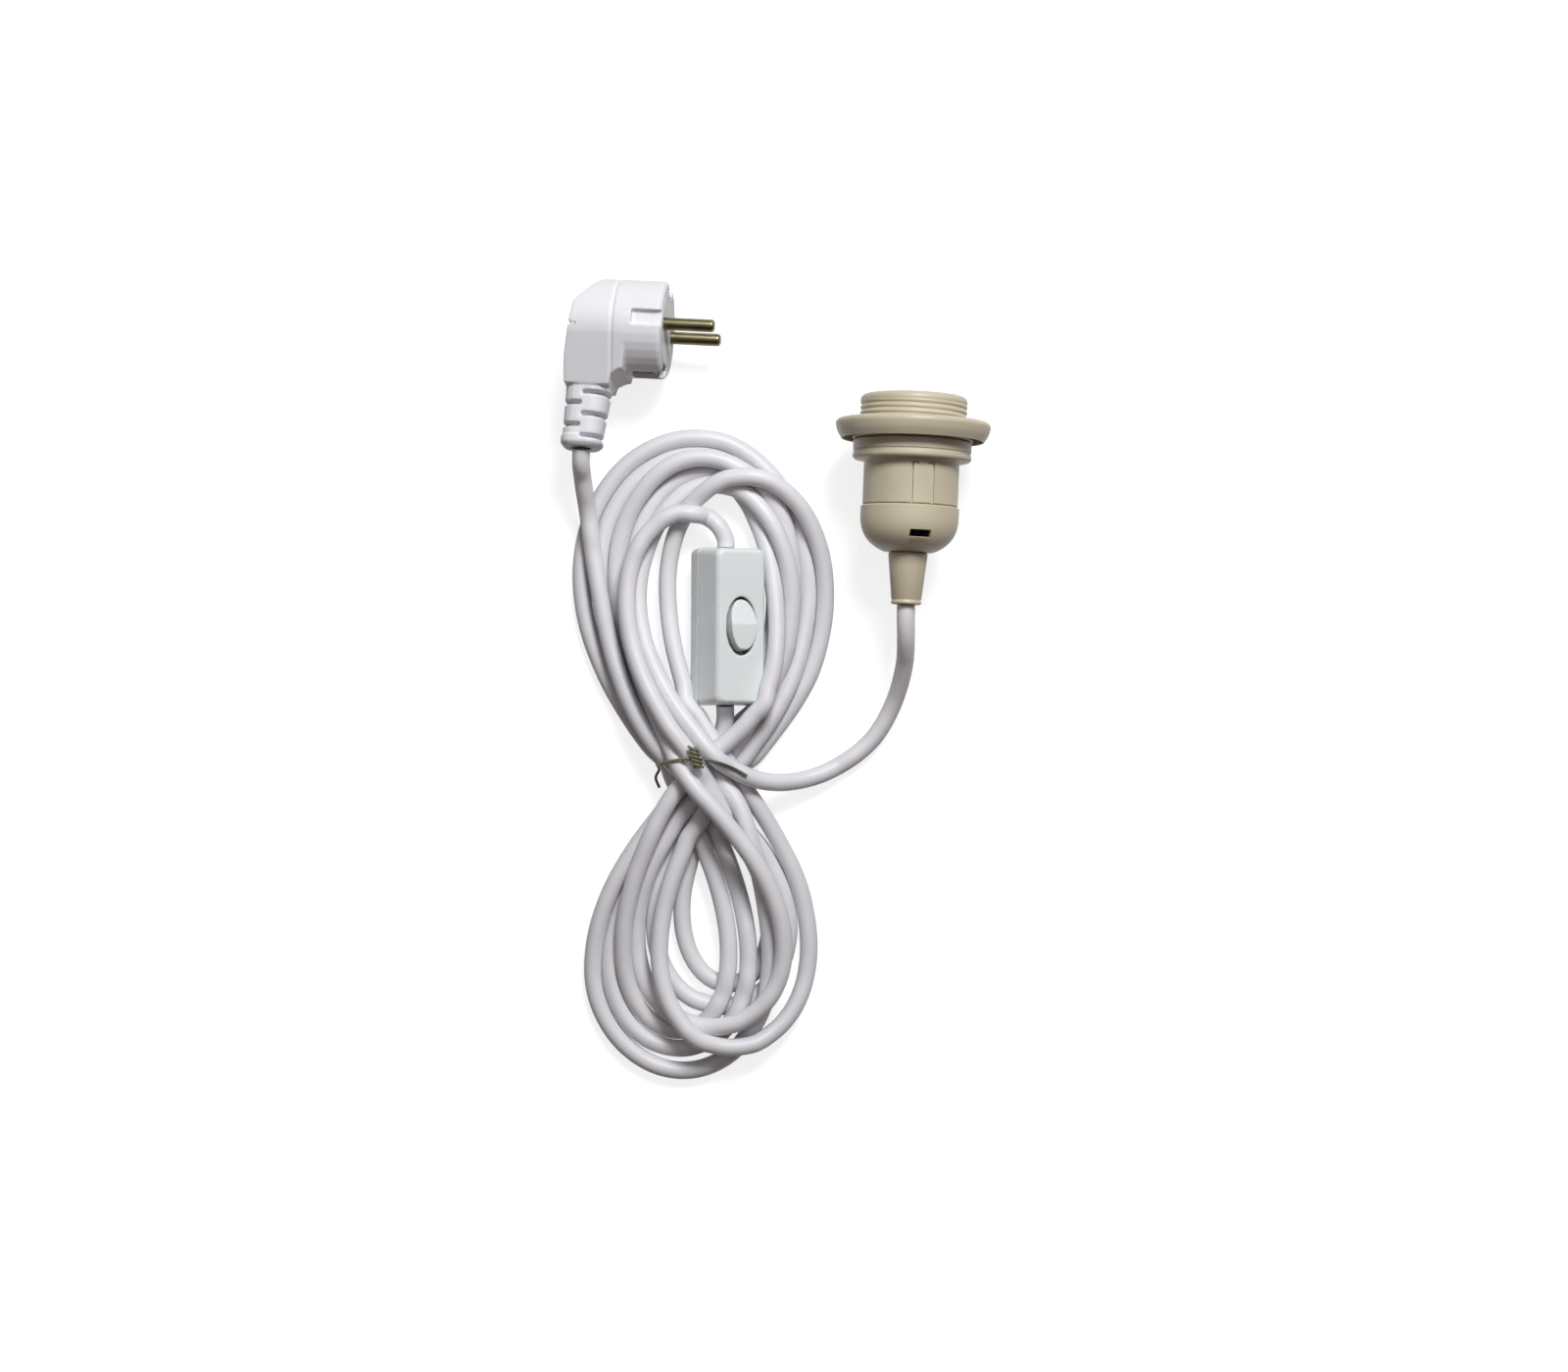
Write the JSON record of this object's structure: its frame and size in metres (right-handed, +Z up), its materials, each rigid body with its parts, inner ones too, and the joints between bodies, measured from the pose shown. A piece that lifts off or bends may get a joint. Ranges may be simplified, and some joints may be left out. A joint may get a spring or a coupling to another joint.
{
  "type": "pendant cord set",
  "caption": "Screw-cap lamp holder with shade ring, in-line rocker switch and angled earthed plug on one round cord wound in a figure of eight and tied.",
  "frame": {"origin": "on the floor below the middle of the lamp holder", "axes": "+Y along the lamp holder's axis, out of its mouth; +Z up from the floor that the set lies on; +X from the wound cord to the lamp holder"},
  "size_m": [0.1606, 0.3059, 0.058],
  "materials": {
    "ivory_plastic": "smooth moulded, semi-gloss, warm ivory",
    "white_pvc": "soft moulded PVC, fine satin",
    "cool_white_plastic": "smooth moulded, semi-gloss, cool white",
    "cord_pvc": "extruded PVC sheath, satin",
    "insulator": "smooth cream insulator",
    "brass": "bright drawn brass",
    "nickel_plate": "nickel plated brass, lightly brushed",
    "steel": "zinc plated steel",
    "core_brown": "brown core insulation",
    "core_blue": "blue core insulation",
    "tie_plastic": "thin plastic covered wire, dark olive grey"
  },
  "bodies": {
    "set": {"threaded_skirt": "ivory_plastic", "dome_cap": "ivory_plastic", "grip_collet": "ivory_plastic", "grip_nut": "ivory_plastic", "contact_carrier": "insulator", "screw_shell": "nickel_plate", "plug_pin_1": "nickel_plate", "plug_pin_2": "nickel_plate", "earth_clip_1": "nickel_plate", "earth_clip_2": "nickel_plate", "centre_contact": "brass", "side_contact": "brass", "terminal_block_1": "brass", "terminal_block_2": "brass", "switch_terminal_in": "brass", "switch_terminal_out": "brass", "switch_contact_blade": "brass", "terminal_screw_1": "steel", "terminal_screw_2": "steel", "switch_screw_1": "steel", "switch_screw_2": "steel", "core_live": "core_brown", "core_neutral": "core_blue", "plug_body": "white_pvc", "plug_bridge": "white_pvc", "switch_base": "cool_white_plastic", "switch_cover": "cool_white_plastic", "switch_clamp_1": "cool_white_plastic", "switch_clamp_2": "cool_white_plastic", "lamp_lead": "cord_pvc", "plug_lead": "cord_pvc", "switch_lead_up": "cord_pvc", "switch_lead_down": "cord_pvc", "cord_hank": "cord_pvc", "twist_tie": "tie_plastic"},
    "ring": {"shade_ring": "ivory_plastic"},
    "rocker": {"switch_rocker": "cool_white_plastic"}
  },
  "joints": [
    {"name": "ring_turn", "type": "hinge", "parent": "set", "child": "ring", "pos_m": [0, 0.026, 0.029], "axis": [0, 1, 0], "range_deg": [0, 1440]},
    {"name": "rocker_tilt", "type": "hinge", "parent": "set", "child": "rocker", "pos_m": [-0.064, -0.04941, 0.01955], "axis": [0.913, 0.0319, -0.4067], "range_deg": [0, 14]}
  ]
}
